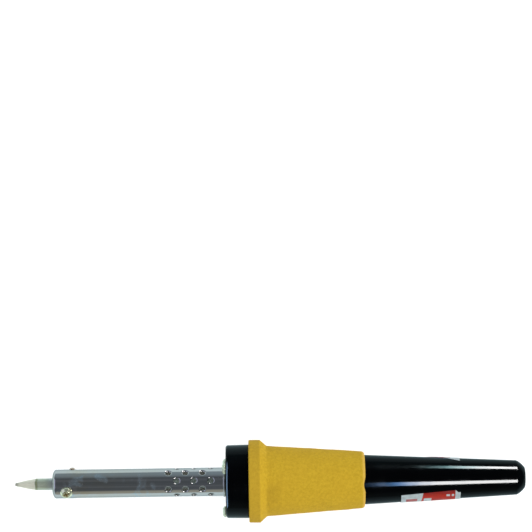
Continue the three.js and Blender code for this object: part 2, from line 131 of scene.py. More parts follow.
def filleted(corners, steps=6):
    """Outline points from (station, radius, fillet) corners. A corner without a fillet stays sharp."""
    points = []
    for i, (station, radius, fillet) in enumerate(corners):
        corner = Vector((station, radius))
        if not fillet:
            points.append(corner)
            continue
        before = (Vector(corners[i - 1][:2]) - corner).normalized()
        after = (Vector(corners[(i + 1) % len(corners)][:2]) - corner).normalized()
        half = before.angle(after) / 2
        centre = corner + (before + after).normalized() * (fillet / math.sin(half))
        start = corner + before * (fillet / math.tan(half)) - centre
        sweep = start.angle_signed(corner + after * (fillet / math.tan(half)) - centre)
        for k in range(steps + 1):
            turn = Matrix.Rotation(-sweep * k / steps, 2)
            points.append(centre + turn @ start)
    return points


def refined(points, step, closed=True):
    """The same outline with more points, so that no stretch is longer than a step."""
    ends = points[1:] + points[:1] if closed else points[1:]
    out = []
    for start, end in zip(points, ends):
        count = max(1, math.ceil((end - start).length / step))
        out += [start.lerp(end, k / count) for k in range(count)]
    return out if closed else [*out, points[-1]]


def mesh_of(name, vertices, faces, sharp=40):
    """A mesh in metres from vertices in millimetres, facing out, smooth but for its sharp edges."""
    mesh = bpy.data.meshes.new(name)
    mesh.from_pydata([Vector(v) * MM for v in vertices], [], faces)
    work = bmesh.new()
    work.from_mesh(mesh)
    bmesh.ops.recalc_face_normals(work, faces=work.faces)
    work.to_mesh(mesh)
    work.free()
    mesh.shade_smooth()
    mesh.set_sharp_from_angle(angle=math.radians(sharp))
    return mesh


def turned(name, points, sides, warp=None, sharp=40):
    """A turned piece from outline points (station, radius), which close on themselves or end on the axis."""
    on_axis = points[0][1] < 1e-6
    rings, vertices = [], []
    for station, radius in points:
        count = 1 if radius < 1e-6 else sides
        rings.append(range(len(vertices), len(vertices) + count))
        for k in range(count):
            spot = round_spot(station, 2 * math.pi * k / sides, radius)
            vertices.append(warp(spot) if warp else spot)
    faces = []
    pairs = zip(rings, rings[1:] if on_axis else [*rings[1:], rings[0]])
    for one, two in pairs:
        for k in range(sides):
            n = (k + 1) % sides
            corners = [one[k % len(one)], one[n % len(one)], two[n % len(two)], two[k % len(two)]]
            face = list(dict.fromkeys(corners))
            if len(face) > 2:
                faces.append(face)
    return mesh_of(name, vertices, faces, sharp)


def tube_faces(rings):
    """Faces from each ring of vertices to the next, and one across both ends."""
    faces = []
    for one, two in zip(rings, rings[1:]):
        for k in range(len(one)):
            n = (k + 1) % len(one)
            faces.append([one[k], one[n], two[n], two[k]])
    return [*faces, list(rings[0]), list(rings[-1])]


def tube_along(name, path, radius, sides):
    """A round wire along a list of points in millimetres, with flat ends."""
    rings, vertices = [], []
    side = (path[1] - path[0]).orthogonal().normalized()
    for i, spot in enumerate(path):
        forward = (path[min(i + 1, len(path) - 1)] - path[max(i - 1, 0)]).normalized()
        side = (side - forward * side.dot(forward)).normalized()
        other = forward.cross(side)
        rings.append(range(len(vertices), len(vertices) + sides))
        for k in range(sides):
            turn = 2 * math.pi * k / sides
            vertices.append(spot + radius * (side * math.cos(turn) + other * math.sin(turn)))
    return mesh_of(name, vertices, tube_faces(rings))


def rod(start, end, radius):
    """A round rod on the x axis, to cut a hole with."""
    return turned("hole", [Vector(p) for p in ((start, 0), (start, radius), (end, radius), (end, 0))], 40)


def upright(mesh, station, angle, height):
    """Stands a piece made along +x on the iron, pointing outwards at an angle, from a height off the axis."""
    shift = Matrix.Translation((station * MM, 0, 0))
    outwards = Matrix.Rotation(math.radians(-angle), 4, "X") @ Matrix.Translation((0, 0, height * MM))
    mesh.transform(shift @ outwards @ Matrix.Rotation(math.radians(-90), 4, "Y"))
    return mesh


def carved(mesh, cutters, sharp=40):
    """The mesh with each cutter mesh taken away from it."""
    body = linked("carving", mesh)
    tools = []
    for cutter in cutters:
        tool = linked("cutter", cutter)
        tools.append(tool)
        modifier = body.modifiers.new("carve", "BOOLEAN")
        modifier.object = tool
        modifier.operation = "DIFFERENCE"
        modifier.solver = "EXACT"
    result = bpy.data.meshes.new_from_object(body.evaluated_get(bpy.context.evaluated_depsgraph_get()))
    for spare in [body, *tools]:
        bpy.data.objects.remove(spare)
    name = mesh.name
    bpy.data.meshes.remove(mesh)
    result.name = name
    result.materials.clear()
    result.shade_smooth()
    result.set_sharp_from_angle(angle=math.radians(sharp))
    return result


def merged(meshes, name):
    """Several separate meshes as one."""
    work = bmesh.new()
    for mesh in meshes:
        work.from_mesh(mesh)
    out = bpy.data.meshes.new(name)
    work.to_mesh(out)
    work.free()
    return out


def stand_in(mesh, material, body, slot, *nodes):
    """Puts a finished mesh into the scene, on its CAD body and in place of its CAD nodes."""
    piece = linked(mesh.name, mesh)
    mesh.materials.clear()
    mesh.materials.append(material)
    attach(piece, body)
    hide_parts(*nodes)
    return piece


def place(mesh, material, body, slot, *nodes):
    """The same for a mesh in the iron's own axes."""
    mesh.transform(TOOL)
    return stand_in(mesh, material, body, slot, *nodes)


# ---- material tools


class Nodes:
    """Short ways to add nodes to a tree, which read the surface at a position or the sky in a direction."""

    def __init__(self, tree, source):
        self.tree = tree
        self.position = self.add("ShaderNodeTexCoord").outputs[source]

    def add(self, kind, settings=None, **inputs):
        """A node with its settings and its inputs, whose names have _ for a space."""
        node = self.tree.nodes.new(kind)
        for key, value in (settings or {}).items():
            setattr(node, key, value)
        for key, value in inputs.items():
            self.put(node.inputs[key.replace("_", " ")], value)
        return node

    def put(self, socket, value):
        """Links another node's output to a socket, or sets the socket to a constant."""
        if isinstance(value, bpy.types.NodeSocket):
            self.tree.links.new(value, socket)
        else:
            socket.default_value = value

    def noise(self, scale, detail=4, roughness=0.55, vector=None, distortion=0.0):
        """Soft noise at the position, or at another vector."""
        inputs = {"Scale": scale, "Detail": detail, "Roughness": roughness, "Distortion": distortion}
        return self.add("ShaderNodeTexNoise", Vector=vector or self.position, **inputs).outputs["Fac"]

    def between(self, value, low, high, to_low=0.0, to_high=1.0):
        """A value's range mapped softly to another, which it doesn't leave."""
        ends = {"From_Min": low, "From_Max": high, "To_Min": to_low, "To_Max": to_high}
        node = self.add("ShaderNodeMapRange", {"interpolation_type": "SMOOTHSTEP"}, Value=value, **ends)
        return node.outputs["Result"]

    def band(self, value, start, end, rise, fall):
        """One from start to end, with a soft rise after the start and a soft fall before the end."""
        return self.times(self.between(value, start, start + rise), self.between(value, end, end - fall))

    def maths(self, operation, *values):
        node = self.add("ShaderNodeMath", {"operation": operation})
        for socket, value in zip(node.inputs, values):
            self.put(socket, value)
        return node.outputs["Value"]

    def times(self, one, two):
        return self.maths("MULTIPLY", one, two)

    def mix(self, factor, one, two):
        """One colour at no factor and the other at a full one."""
        node = self.add("ShaderNodeMix", {"data_type": "RGBA"}, Factor=factor, A=one, B=two)
        return node.outputs["Result"]


class Look(Nodes):
    """A material with its Principled shader. Its position is in the iron's axes, in metres."""

    def __init__(self, name, **values):
        self.material = bpy.data.materials.new(name)
        self.material.use_nodes = True
        super().__init__(self.material.node_tree, "Object")
        self.shader = self.tree.nodes["Principled BSDF"]
        to_tool = TOOL.inverted()
        turn, shift = to_tool.to_euler(), to_tool.translation
        mapped = self.add("ShaderNodeMapping", Vector=self.position, Location=shift, Rotation=turn)
        self.position = mapped.outputs["Vector"]
        for socket, value in values.items():
            self.set(socket.replace("_", " "), value)

    def stretched(self, along_scale, across_scale):
        """Positions in metres, scaled along the iron and across it."""
        scale = (along_scale, across_scale, across_scale)
        return self.add("ShaderNodeMapping", Vector=self.position, Scale=scale).outputs["Vector"]

    def cells(self, scale):
        """The distance to the nearest of many scattered points, in cells."""
        return self.add("ShaderNodeTexVoronoi", Vector=self.position, Scale=scale).outputs["Distance"]

    def axis(self, letter):
        """One coordinate of the position, in millimetres."""
        split = self.add("ShaderNodeSeparateXYZ", Vector=self.position)
        return self.times(split.outputs[letter], 1 / MM)

    def from_axis(self):
        """The distance from the iron's axis, in metres."""
        length = self.add("ShaderNodeVectorMath", {"operation": "LENGTH"})
        self.put(length.inputs[0], self.stretched(0, 1))
        return length.outputs["Value"]

    def shaped(self, low, high):
        """One on the mesh's outer edges and nothing on its flats, or one in its hollows if high < low."""
        return self.between(self.add("ShaderNodeNewGeometry").outputs["Pointiness"], low, high)

    def bump(self, *layers):
        """Bumps from (height, depth in millimetres) layers, each on top of the one before."""
        normal = None
        for height, depth in layers:
            node = self.add("ShaderNodeBump", Height=height, Distance=depth * MM, Strength=1.0)
            if normal:
                self.put(node.inputs["Normal"], normal)
            normal = node.outputs["Normal"]
        self.set("Normal", normal)

    def set(self, socket, value):
        """One input of the Principled shader."""
        self.put(self.shader.inputs[socket], value)

    def finished(self, colour, roughness, *bumps):
        """The material, with its colour, its roughness and its layers of bumps."""
        self.set("Base Color", colour)
        self.set("Roughness", roughness)
        self.bump(*bumps)
        return self.material


def rgb(red, green, blue):
    """A colour from its display values, 0 to 255."""

    def linear(value):
        share = value / 255
        return share / 12.92 if share <= 0.04045 else ((share + 0.055) / 1.055) ** 2.4

    return (linear(red), linear(green), linear(blue), 1)


# ---- materials


def chrome_look():
    """Drawn chromed tube: faint lengthwise lines, smears, scuffs, heat tint and a dull inside."""
    look = Look("chrome")
    lines = look.noise(1, 3, vector=look.stretched(12, 2600))
    smears = look.noise(95, 5, 0.6, distortion=0.6)
    dents = look.noise(30, 2)
    heated = look.band(look.axis("X"), BARREL["nose"], 95, 14, 55)
    tint = look.times(heated, look.between(smears, 0.3, 0.75, 0.1, 0.5))
    scuffed = look.between(look.noise(48, 2, distortion=0.5), 0.52, 0.66)
    scuffs = look.between(look.noise(130, 2, 0.5, distortion=1.6), 0.5, 0.66)
    scuffs = look.times(scuffed, scuffs)
    colour = look.mix(tint, rgb(179, 176, 176), rgb(176, 164, 142))
    colour = look.mix(look.times(scuffs, 0.7), colour, rgb(160, 176, 186))
    hollows = look.between(look.shaped(0.49, 0.4), 0, 1, 0, 0.6)
    colour = look.mix(hollows, colour, rgb(104, 98, 88))
    radius = look.times(look.from_axis(), 1 / MM)
    bore = BARREL["radius"] - BARREL["wall"]
    inside = look.between(radius, bore + 0.08, bore + 0.02)
    colour = look.mix(inside, colour, rgb(122, 134, 130))
    dulled = look.maths("MAXIMUM", inside, look.times(scuffs, 0.06))
    look.set("Metallic", look.maths("SUBTRACT", 1.0, dulled))
    polish = look.between(smears, 0.35, 0.8, 0.05, 0.18)
    rough = look.maths("ADD", polish, look.times(dulled, 0.3))
    return look.finished(colour, rough, (dents, 0.06), (smears, 0.01), (lines, 0.0012))


def tip_look():
    """Tinned working end, heat-dulled iron plating behind it, and a thin flux line between them."""
    look = Look("tip_plating")
    station = look.axis("X")
    blotch = look.noise(420, 5, 0.6, distortion=0.4)
    streaks = look.noise(1, 4, 0.6, vector=look.stretched(160, 1500))
    edge = look.maths("ADD", station, look.between(blotch, 0.2, 0.8, -0.25, 0.25))
    tinned = look.between(edge, TIP["cone_end"] + 0.35, TIP["cone_end"] + 0.05)
    flux = look.band(edge, TIP["cone_end"] + 0.2, TIP["cone_end"] + 1.8, 0.3, 0.7)
    scorched = look.between(station, BARREL["nose"] - 4.5, BARREL["nose"] + 1)
    plating = look.mix(look.between(streaks, 0.3, 0.7), rgb(178, 187, 168), rgb(202, 209, 190))
    plating = look.mix(scorched, plating, rgb(182, 188, 188))
    tin = look.mix(look.between(streaks, 0.25, 0.75), rgb(222, 220, 201), rgb(244, 242, 224))
    tin = look.mix(look.between(station, 3, 0), tin, rgb(168, 168, 154))
    colour = look.mix(tinned, plating, tin)
    colour = look.mix(look.times(flux, 0.6), colour, rgb(126, 132, 78))
    look.set("Metallic", look.between(tinned, 0, 1, 0.55, 0.25))
    rough = look.maths("ADD", look.between(blotch, 0.2, 0.8, 0.3, 0.46), look.times(tinned, 0.12))
    rings = look.noise(1, 2, vector=look.stretched(5200, 60))
    return look.finished(colour, rough, (blotch, 0.03), (streaks, 0.01), (rings, 0.006))


def brass_look(name, bright, dull, wear, metallic):
    """Plated fastener: bright on its crowns, tarnished in its hollows."""
    look = Look(name, Metallic=metallic)
    blotch = look.noise(700, 4, 0.6)
    tarnish = look.maths("ADD", look.between(blotch, 0.35, 0.75, 0, wear), look.shaped(0.5, 0.42))
    colour = look.mix(look.maths("MINIMUM", tarnish, 1.0), bright, dull)
    return look.finished(colour, look.between(tarnish, 0, 1, 0.22, 0.42), (look.noise(2400, 3), 0.004))


def plate_look():
    """Zinc-plated steel with the fine circular marks of a turned face."""
    look = Look("plain_steel", Metallic=1.0)
    radius = look.from_axis()
    rings = look.add("ShaderNodeTexNoise", {"noise_dimensions": "1D"}, W=radius, Scale=4200, Detail=3)
    blotch = look.noise(160, 4)
    colour = look.mix(blotch, rgb(150, 156, 148), rgb(186, 190, 178))
    return look.finished(colour, look.between(blotch, 0.3, 0.7, 0.26, 0.42), (rings.outputs["Fac"], 0.004))


def handle_look():
    """Black gloss moulding: a slightly uneven surface, hairline handling marks and a little dust."""
    look = Look("black_plastic", IOR=1.45, Specular_IOR_Level=0.04, Sheen_Weight=0.06)
    look.set("Sheen Tint", (0.25, 0.85, 1, 1))
    look.set("Sheen Roughness", 0.4)
    swell = look.noise(42, 2)
    marks = look.noise(1, 3, 0.7, vector=look.stretched(90, 1500), distortion=1.2)
    smudge = look.noise(70, 5, 0.6, distortion=0.8)
    specks = look.between(look.cells(520), 0.07, 0.02)
    specks = look.times(specks, look.between(smudge, 0.5, 0.7))
    colour = look.mix(look.shaped(0.53, 0.64), rgb(2, 2, 3), rgb(16, 19, 22))
    colour = look.mix(look.times(specks, 0.3), colour, rgb(70, 74, 76))
    gloss = look.between(smudge, 0.3, 0.75, 0.07, 0.13)
    gloss = look.maths("ADD", gloss, look.between(marks, 0.64, 0.74, 0, 0.08))
    gloss = look.maths("ADD", gloss, look.times(specks, 0.3))
    return look.finished(colour, gloss, (swell, 0.05), (marks, 0.0015))


def foam_look():
    """Yellow closed-cell foam: pores, mottling, a dulled flare, grime behind it, and painted highlights on
    its rounded and rear edges.
    """
    look = Look("yellow_foam", IOR=1.35, Specular_IOR_Level=0.2)
    mottle = look.noise(760, 6, 0.75)
    patches = look.noise(60, 4, 0.6, distortion=0.5)
    pores = look.cells(1700)
    deep = look.between(look.cells(760), 0.16, 0.03)
    deep = look.times(deep, look.between(patches, 0.4, 0.65))
    station = look.axis("X")
    behind = look.band(station, GRIP["cone_end"] - 1.2, GRIP["cone_end"] + 9.8, 1.6, 8)
    grime = look.times(behind, look.between(patches, 0.45, 0.7))
    # painted highlight: a lighter band along the grip's rear edge
    rear_edge = look.between(station, GRIP["end"] - 1.7, GRIP["end"] - 0.9)
    colour = look.mix(look.between(mottle, 0.34, 0.66), rgb(197, 158, 41), rgb(215, 177, 51))
    colour = look.mix(look.between(patches, 0.35, 0.7, 0, 0.3), colour, rgb(208, 166, 47))
    flare = look.between(station, GRIP["flare_end"] + 0.5, GRIP["flare_end"] - 0.3, 0, 0.3)
    colour = look.mix(flare, colour, rgb(192, 152, 54))
    colour = look.mix(look.times(grime, 0.35), colour, rgb(158, 126, 38))
    colour = look.mix(look.times(deep, 0.45), colour, rgb(150, 114, 26))
    # painted highlight: lighter colour on the foam's rounded edges
    edge_highlight = look.between(look.shaped(0.52, 0.6), 0, 1, 0, 0.4)
    colour = look.mix(edge_highlight, colour, rgb(222, 182, 74))
    # the painted highlight along the rear edge
    colour = look.mix(look.times(rear_edge, 0.6), colour, rgb(226, 182, 88))
    rough = look.between(mottle, 0.3, 0.7, 0.82, 0.96)
    creases = look.times(look.noise(1, 3, vector=look.stretched(520, 160), distortion=1.5), behind)
    return look.finished(colour, rough, (creases, 0.35), (mottle, 0.11), (pores, 0.06), (deep, -0.1))


def rubber_look():
    """Matt black rubber with a fine grain."""
    look = Look("black_rubber", IOR=1.45)
    grain = look.noise(1800, 3)
    colour = look.mix(look.noise(240, 3), rgb(20, 21, 22), rgb(34, 35, 36))
    return look.finished(colour, look.between(grain, 0.3, 0.7, 0.55, 0.75), (grain, 0.02))


def label_look():
    """White film with a plain red slanted block and plain bars. It carries no lettering."""
    look = Look("label_film", IOR=1.3, Specular_IOR_Level=0.15)
    split = look.add("ShaderNodeSeparateXYZ", Vector=look.position)
    station = look.axis("X")
    angle = look.maths("DEGREES", look.maths("ARCTAN2", split.outputs["Y"], split.outputs["Z"]))

    def inside(value, low, high, blur):
        return look.band(value, low - blur, high + blur, 2 * blur, 2 * blur)

    def block(*edges):
        """One inside a block, given by its first and last station and its first and last angle."""
        return look.times(inside(station, *edges[:2], 0.08), inside(angle, *edges[2:], 0.8))

    def any_of(*masks):
        joined = masks[0]
        for mask in masks[1:]:
            joined = look.maths("MAXIMUM", joined, mask)
        return joined

    slant = look.maths("ADD", station, look.times(angle, -0.025))
    red = look.times(look.between(slant, 216.1, 216.3), inside(station, 200, 232.2, 0.08))
    red = look.times(red, inside(angle, -128, -20, 0.6))
    windows = any_of(
        block(215.6, 219.6, -84, -61),
        block(227.5, 229.3, -56, -48),
        block(230.3, 231.5, -57, -48),
    )
    red = look.times(red, look.maths("SUBTRACT", 1.0, windows))
    bars = any_of(block(206.3, 212.2, -78, -61), block(206.3, 210.8, -92, -84))
    rear = block(212, 230, 78, 178)
    red = any_of(red, look.times(bars, 0.8), rear)
    scuff = look.noise(260, 5, 0.65)
    paper = look.mix(look.between(scuff, 0.4, 0.8), rgb(184, 194, 195), rgb(146, 157, 159))
    ink_and_shade = look.mix(look.between(scuff, 0.3, 0.8), rgb(180, 36, 4), rgb(150, 28, 8))
    # painted shade: the red turns darker towards the block's upper edge
    ink_and_shade = look.mix(look.between(angle, -56, -36, 0, 0.7), ink_and_shade, rgb(104, 14, 6))
    return look.finished(look.mix(red, paper, ink_and_shade), look.between(scuff, 0.3, 0.8, 0.3, 0.5), (scuff, 0.01))


def plain_look(name, one, two, scale, rough, metallic=0.0):
    """A two-tone material with grain, for the pieces inside."""
    look = Look(name, Metallic=metallic)
    blotch = look.noise(scale, 4)
    spread = look.between(blotch, 0.3, 0.7, rough - 0.08, rough + 0.08)
    return look.finished(look.mix(blotch, rgb(*one), rgb(*two)), spread, (look.noise(scale * 6, 3), 0.01))


def sleeving_look():
    """Braided glass fibre: two crossing sets of fine strands."""
    look = Look("glass_sleeving")
    split = look.add("ShaderNodeSeparateXYZ", Vector=look.position)
    per_metre = 5200.0
    forward = look.times(split.outputs["X"], per_metre)
    waves = []
    for lean in (1, -1):
        across = look.times(split.outputs["Z"], lean * per_metre)
        waves.append(look.maths("SINE", look.maths("ADD", forward, across)))
    height = look.maths("MAXIMUM", *waves)
    shade = look.between(height, -0.2, 1)
    return look.finished(look.mix(shade, rgb(88, 90, 84), rgb(122, 124, 116)), 0.9, (height, 0.05))


CHROME = chrome_look()
TIP_PLATING = tip_look()
BRASS = brass_look("brass", rgb(222, 226, 196), rgb(176, 142, 58), 0.3, 0.85)
OLD_BRASS = brass_look("old_brass", rgb(226, 208, 188), rgb(172, 154, 134), 0.6, 0.5)
ZINC = brass_look("zinc_plate", rgb(226, 234, 208), rgb(160, 172, 124), 0.35, 0.6)
STEEL = plate_look()
BLACK = handle_look()
FOAM = foam_look()
RUBBER = rubber_look()
LABEL_FILM = label_look()
SLEEVING = sleeving_look()
CERAMIC = plain_look("ceramic", (226, 220, 206), (240, 236, 226), 300, 0.6)
MICA = plain_look("mica", (150, 118, 72), (198, 172, 122), 180, 0.3)
WIRE = plain_look("resistance_wire", (104, 98, 92), (150, 142, 130), 500, 0.4, 1.0)
NYLON = plain_look("white_nylon", (222, 220, 210), (236, 234, 226), 200, 0.45)
GREEN = plain_look("green_wire", (58, 132, 44), (92, 168, 62), 200, 0.45)

# ---- soldering tip


def soldering_tip():
    """The tip: a flat point, a slightly bulging cone and a round shank that ends inside the barrel."""
    middle = (TIP["start"] + TIP["cone_end"]) / 2
    outline = filleted(
        [
            (TIP["start"], 0, 0),
            (TIP["start"], TIP["point_radius"], 0.45),
            (middle, (TIP["point_radius"] + TIP["cone_radius"]) / 2 + 0.15, 5),
            (TIP["cone_end"], TIP["cone_radius"], 0.4),
            (TIP["cone_end"] + 0.15, TIP["radius"], 0.06),
            (TIP["end"], TIP["radius"], 0.6),
            (TIP["end"], 0, 0),
        ]
    )
    mesh = turned("tip_fine", refined(outline, 1.5, closed=False), sides=96)
    place(mesh, TIP_PLATING, "tip", "tip_plating", "soldering_tip")


soldering_tip()

# ---- barrel


def vent_cutter(station, angle):
    """A cutter for one vent hole, bent to the barrel's curve, so that the hole's lip rolls in evenly."""
    sides, steps = 40, 6
    above, below = -1.2, 2.2
    flare, inner = VENT["flare"], VENT["inner"]
    start = math.radians(20)
    profile = [(inner + flare - flare * math.sin(start), above)]
    for k in range(steps + 1):
        turn = start + (math.pi / 2 - start) * k / steps
        depth = flare * math.cos(start) - flare * math.cos(turn)
        profile.append((inner + flare - flare * math.sin(turn), depth))
    profile.append((inner, below))
    rings, vertices = [], []
    for reach, depth in profile:
        rings.append(range(len(vertices), len(vertices) + sides))
        for k in range(sides):
            turn = 2 * math.pi * k / sides
            bend = math.radians(angle) + reach * math.sin(turn) / BARREL["radius"]
            vertices.append(round_spot(station + reach * math.cos(turn), bend, BARREL["radius"] - depth))
    return mesh_of("vent", vertices, tube_faces(rings))


def vent_places():
    """Stations and angles of the vent holes, with every other column half a pitch further forward."""
    for column in range(VENT["columns"]):
        start = VENT["start"] - (column % 2) * VENT["pitch"] / 2
        for row in range(VENT["per_column"]):
            yield start + row * VENT["pitch"], VENT["angle"] + column * 360 / VENT["columns"]


def hole_through(fastener):
    """A cutter for the barrel's hole for a fastener, from well inside the wall to well outside it."""
    cutter = rod(BARREL["radius"] - 3.5, BARREL["radius"] + 2.5, fastener["shank"] + GAP)
    return upright(cutter, fastener["station"], fastener["angle"], 0)


def dome(start, depth, radius):
    """Corners of the barrel's domed nose, from its hole's edge out to a radius."""
    hole = BARREL["hole"]
    return [(start + depth * (1 - math.cos(t)), hole + (radius - hole) * math.sin(t), 0) for t in quarter(10)]


def barrel():
    """The tube, with a domed nose, a slightly thicker front end, its vents, a bead and a rim at the rear."""
    nose, rear, radius, wall, rim = (BARREL[key] for key in ("nose", "rear", "radius", "wall", "rim"))
    sleeve = radius + SLEEVE["lift"]
    bead = radius + BEAD["height"]
    bead_end = BEAD["start"] + BEAD["length"]
    outline = filleted(
        [
            *dome(nose, BARREL["dome"], sleeve),
            (SLEEVE["start"], sleeve, 0.8),
            (SLEEVE["end"], radius, 0.8),
            (BEAD["start"], radius, 0.15),
            (BEAD["start"], bead, 0.4),
            (bead_end, bead, 0.4),
            (bead_end, radius, 0.1),
            (rear - wall, radius, 0.2),
            (rear - wall, rim, 0.1),
            (rear, rim, 0.1),
            (rear, radius - wall, 0.5),
            *reversed(dome(nose + wall, BARREL["dome"] - 0.5, radius - wall)),
        ]
    )
    shell = turned("barrel_fine", refined(outline, 0.8), 144)
    vents = [vent_cutter(station, angle) for station, angle in vent_places()]
    holes = [hole_through(fastener) for fastener in (TIP_SCREW, RIVET)]
    # the cutters of one set lie apart, so that one cut takes all of their holes
    sets = [merged(vents[0::2], "vents_a"), merged(vents[1::2], "vents_b"), merged(holes, "holes")]
    mesh = carved(shell, sets)
    place(mesh, CHROME, "iron", "chrome", "barrel")


barrel()

# ---- fasteners


def cross_cutters(head_top, reach, width, depth):
    """Two crossing blades, narrower at the bottom, for a cross recess in a head whose top is at head_top."""
    blades = []
    square = ((-1, -1), (1, -1), (1, 1), (-1, 1))
    for turn in (0, 90):
        corners = []
        for height, share in ((head_top + 1, 1.25), (head_top - depth, 0.45)):
            for y, z in square:
                corners.append((height, y * reach * share, z * width / 2 * (0.6 + 0.4 * share)))
        faces = [(0, 1, 2, 3), (4, 5, 6, 7), (0, 1, 5, 4), (1, 2, 6, 5), (2, 3, 7, 6), (3, 0, 4, 7)]
        blade = mesh_of("blade", corners, faces)
        blade.transform(Matrix.Rotation(math.radians(turn), 4, "X"))
        blades.append(blade)
    return blades


def pan_screw(name, head, height, shank, length):
    """A pan-head screw along +x: its shank ends at -length, its seat is at 0 and its head's top at height."""
    pitch = 0.5
    root = shank - 0.25
    thread_end = -length + 0.4
    outline = [(-length, 0, 0), (-length, shank - 0.35, 0.05), (thread_end, shank, 0.05)]
    for k in range(int((length - 0.8) / pitch)):
        base = thread_end + 0.1 + k * pitch
        outline += [(base, root, 0), (base + pitch / 2, shank, 0)]
    outline += [(-0.2, root, 0), (0, shank - 0.2, 0), (0, head, 0.15)]
    outline += [(0.5 * height, head, 0.35), (height, 0.62 * head, 0.5), (1.02 * height, 0, 0)]
    body = turned(name, refined(filleted(outline), 0.8, closed=False), 72, sharp=50)
    return carved(body, cross_cutters(height, 0.58 * head, 0.3 * head, 0.6 * height), sharp=50)


def tip_screw():
    """The clamp screw, whose shank stops just short of the tip."""
    seat = BARREL["radius"] + SEAT_GAP
    length = seat - TIP["radius"] - GAP
    mesh = pan_screw("tip_screw_fine", TIP_SCREW["head"], TIP_SCREW["height"], TIP_SCREW["shank"], length)
    mesh.transform(Matrix.Rotation(math.radians(TIP_SCREW["turned"]), 4, "X"))
    upright(mesh, TIP_SCREW["station"], TIP_SCREW["angle"], seat)
    place(mesh, BRASS, "clamp_screw", "brass", "tip_screw")


def to_flange(mesh, angle, station=0.0):
    """Moves a mesh made on the iron's axis out to the place of the flange screw at an angle."""
    offset = round_spot(station, math.radians(angle), FLANGE_SCREW["circle"])
    mesh.transform(Matrix.Translation(offset * MM))
    return mesh


def flange_holes(radius, end):
    """A cutter for the flange screws' holes, from well in front of the plate to an end station."""
    ahead = 100
    rods = [to_flange(rod(ahead, end, radius), angle) for angle in FLANGE_ANGLES]
    return merged(rods, "holes")


def flange_screws():
    """The three screws round the flange, each with its cross recess turned another way."""
    head, height, shank = FLANGE_SCREW["head"], FLANGE_SCREW["height"], FLANGE_SCREW["shank"]
    seat = PLATE["front"] - SEAT_GAP
    for number, angle in enumerate(FLANGE_ANGLES, 1):
        mesh = pan_screw(f"flange_screw_{number}_fine", head, height, shank, FLANGE_SCREW["end"] - seat)
        mesh.transform(Matrix.Rotation(math.radians(35 * number), 4, "X"))
        mesh.transform(Matrix.Rotation(math.radians(180), 4, "Z"))
        place(to_flange(mesh, angle, seat), ZINC, "iron", "zinc_plate", f"flange_screw_{number}")


def holder_rivet():
    """The domed rivet that holds the tip's bush."""
    head, height, shank, length = (RIVET[key] for key in ("head", "height", "shank", "length"))
    crown = [Vector((height * math.cos(t), head * math.sin(t))) for t in quarter(10)]
    stem = [Vector(p) for p in ((0, shank), (-length, shank), (-length, 0))]
    mesh = turned("rivet_fine", [*crown, *stem], 48, sharp=60)
    upright(mesh, RIVET["station"], RIVET["angle"], BARREL["radius"] + SEAT_GAP)
    place(mesh, OLD_BRASS, "iron", "brass", "holder_rivet")


def flange_plate():
    """The round plate in the collar's face, with its holes for the barrel and the three screws."""
    front, back = PLATE["front"], PLATE["front"] + PLATE["thickness"]
    hole = BARREL["radius"] + GAP
    outline = filleted(
        [
            (front, hole, 0.15),
            (front, PLATE["radius"], 0.2),
            (back, PLATE["radius"], 0.2),
            (back, hole, 0.15),
        ]
    )
    disc = turned("flange_plate_fine", outline, 144)
    behind = 120
    mesh = carved(disc, [flange_holes(FLANGE_HOLE["plate"], behind)])
    place(mesh, STEEL, "iron", "plain_steel", "flange_plate")


tip_screw()
holder_rivet()
flange_plate()
flange_screws()

# ---- handle, bush and label


def end_dome():
    """Corners of the handle's domed end, an arc from its edge in to the cord's hole."""
    steps = 12
    size, lean = DOME["radius"], math.radians(DOME["lean"])
    sweep = math.radians(DOME["end"]) - lean
    centre = Vector(CORNER) - size * Vector((math.sin(lean), math.cos(lean)))
    turns = [lean + sweep * k / steps for k in range(steps + 1)]
    arc = [(*(centre + size * Vector((math.sin(t), math.cos(t)))), 0.0) for t in turns]
    return [(*CORNER, 0.6), *arc[1:], (arc[-1][0] + 0.15, END_HOLE, 0.1)]


def handle():
    """The collar and the hollow tapered handle, one moulding, with a recess for the flange plate."""
    floor = PLATE["front"] + PLATE["thickness"] + GAP
    recess = PLATE["radius"] + GAP
    outline = filleted(
        [
            (floor, HOLLOW[0][1], 0.3),
            (floor, recess, 0),
            (PLATE["front"], recess, 0.15),
            (PLATE["front"], COLLAR["front"], COLLAR["rounding"]),
            (COLLAR["end"], COLLAR["rear"], 0.4),
            (COLLAR["end"], handle_radius(COLLAR["end"]), 0.3),
            *end_dome(),
            (HOLLOW[2][0], END_HOLE, 0.3),
            (*HOLLOW[2], 0.5),
            (*HOLLOW[1], 0),
            (*HOLLOW[0], 0),
        ]
    )
    body = turned("handle_fine", refined(outline, 3), 144, sharp=50)
    holes = flange_holes(FLANGE_HOLE["handle"], FLANGE_HOLE["end"])
    place(carved(body, [holes], sharp=50), BLACK, "iron", "black_plastic", "handle")


def inlet_bush():
    """The bush round the cord's hole, with a flange behind the handle's end."""
    start, flange_end, end = INLET["start"], INLET["flange_end"], INLET["end"]
    bore, radius, flange = INLET["bore"], INLET["radius"], INLET["flange"]
    outline = filleted(
        [
            (start, bore, 0.4),
            (start, flange, 0.5),
            (flange_end, flange, 0.3),
            (flange_end, radius, 0.2),
            (end - 0.3, radius, 0.2),
            (end, radius - 0.5, 0.2),
            (end, bore, 0.3),
        ]
    )
    mesh = turned("cord_inlet_bush_fine", refined(outline, 1), 96)
    place(mesh, RUBBER, "iron", "black_rubber", "cord_inlet_bush")


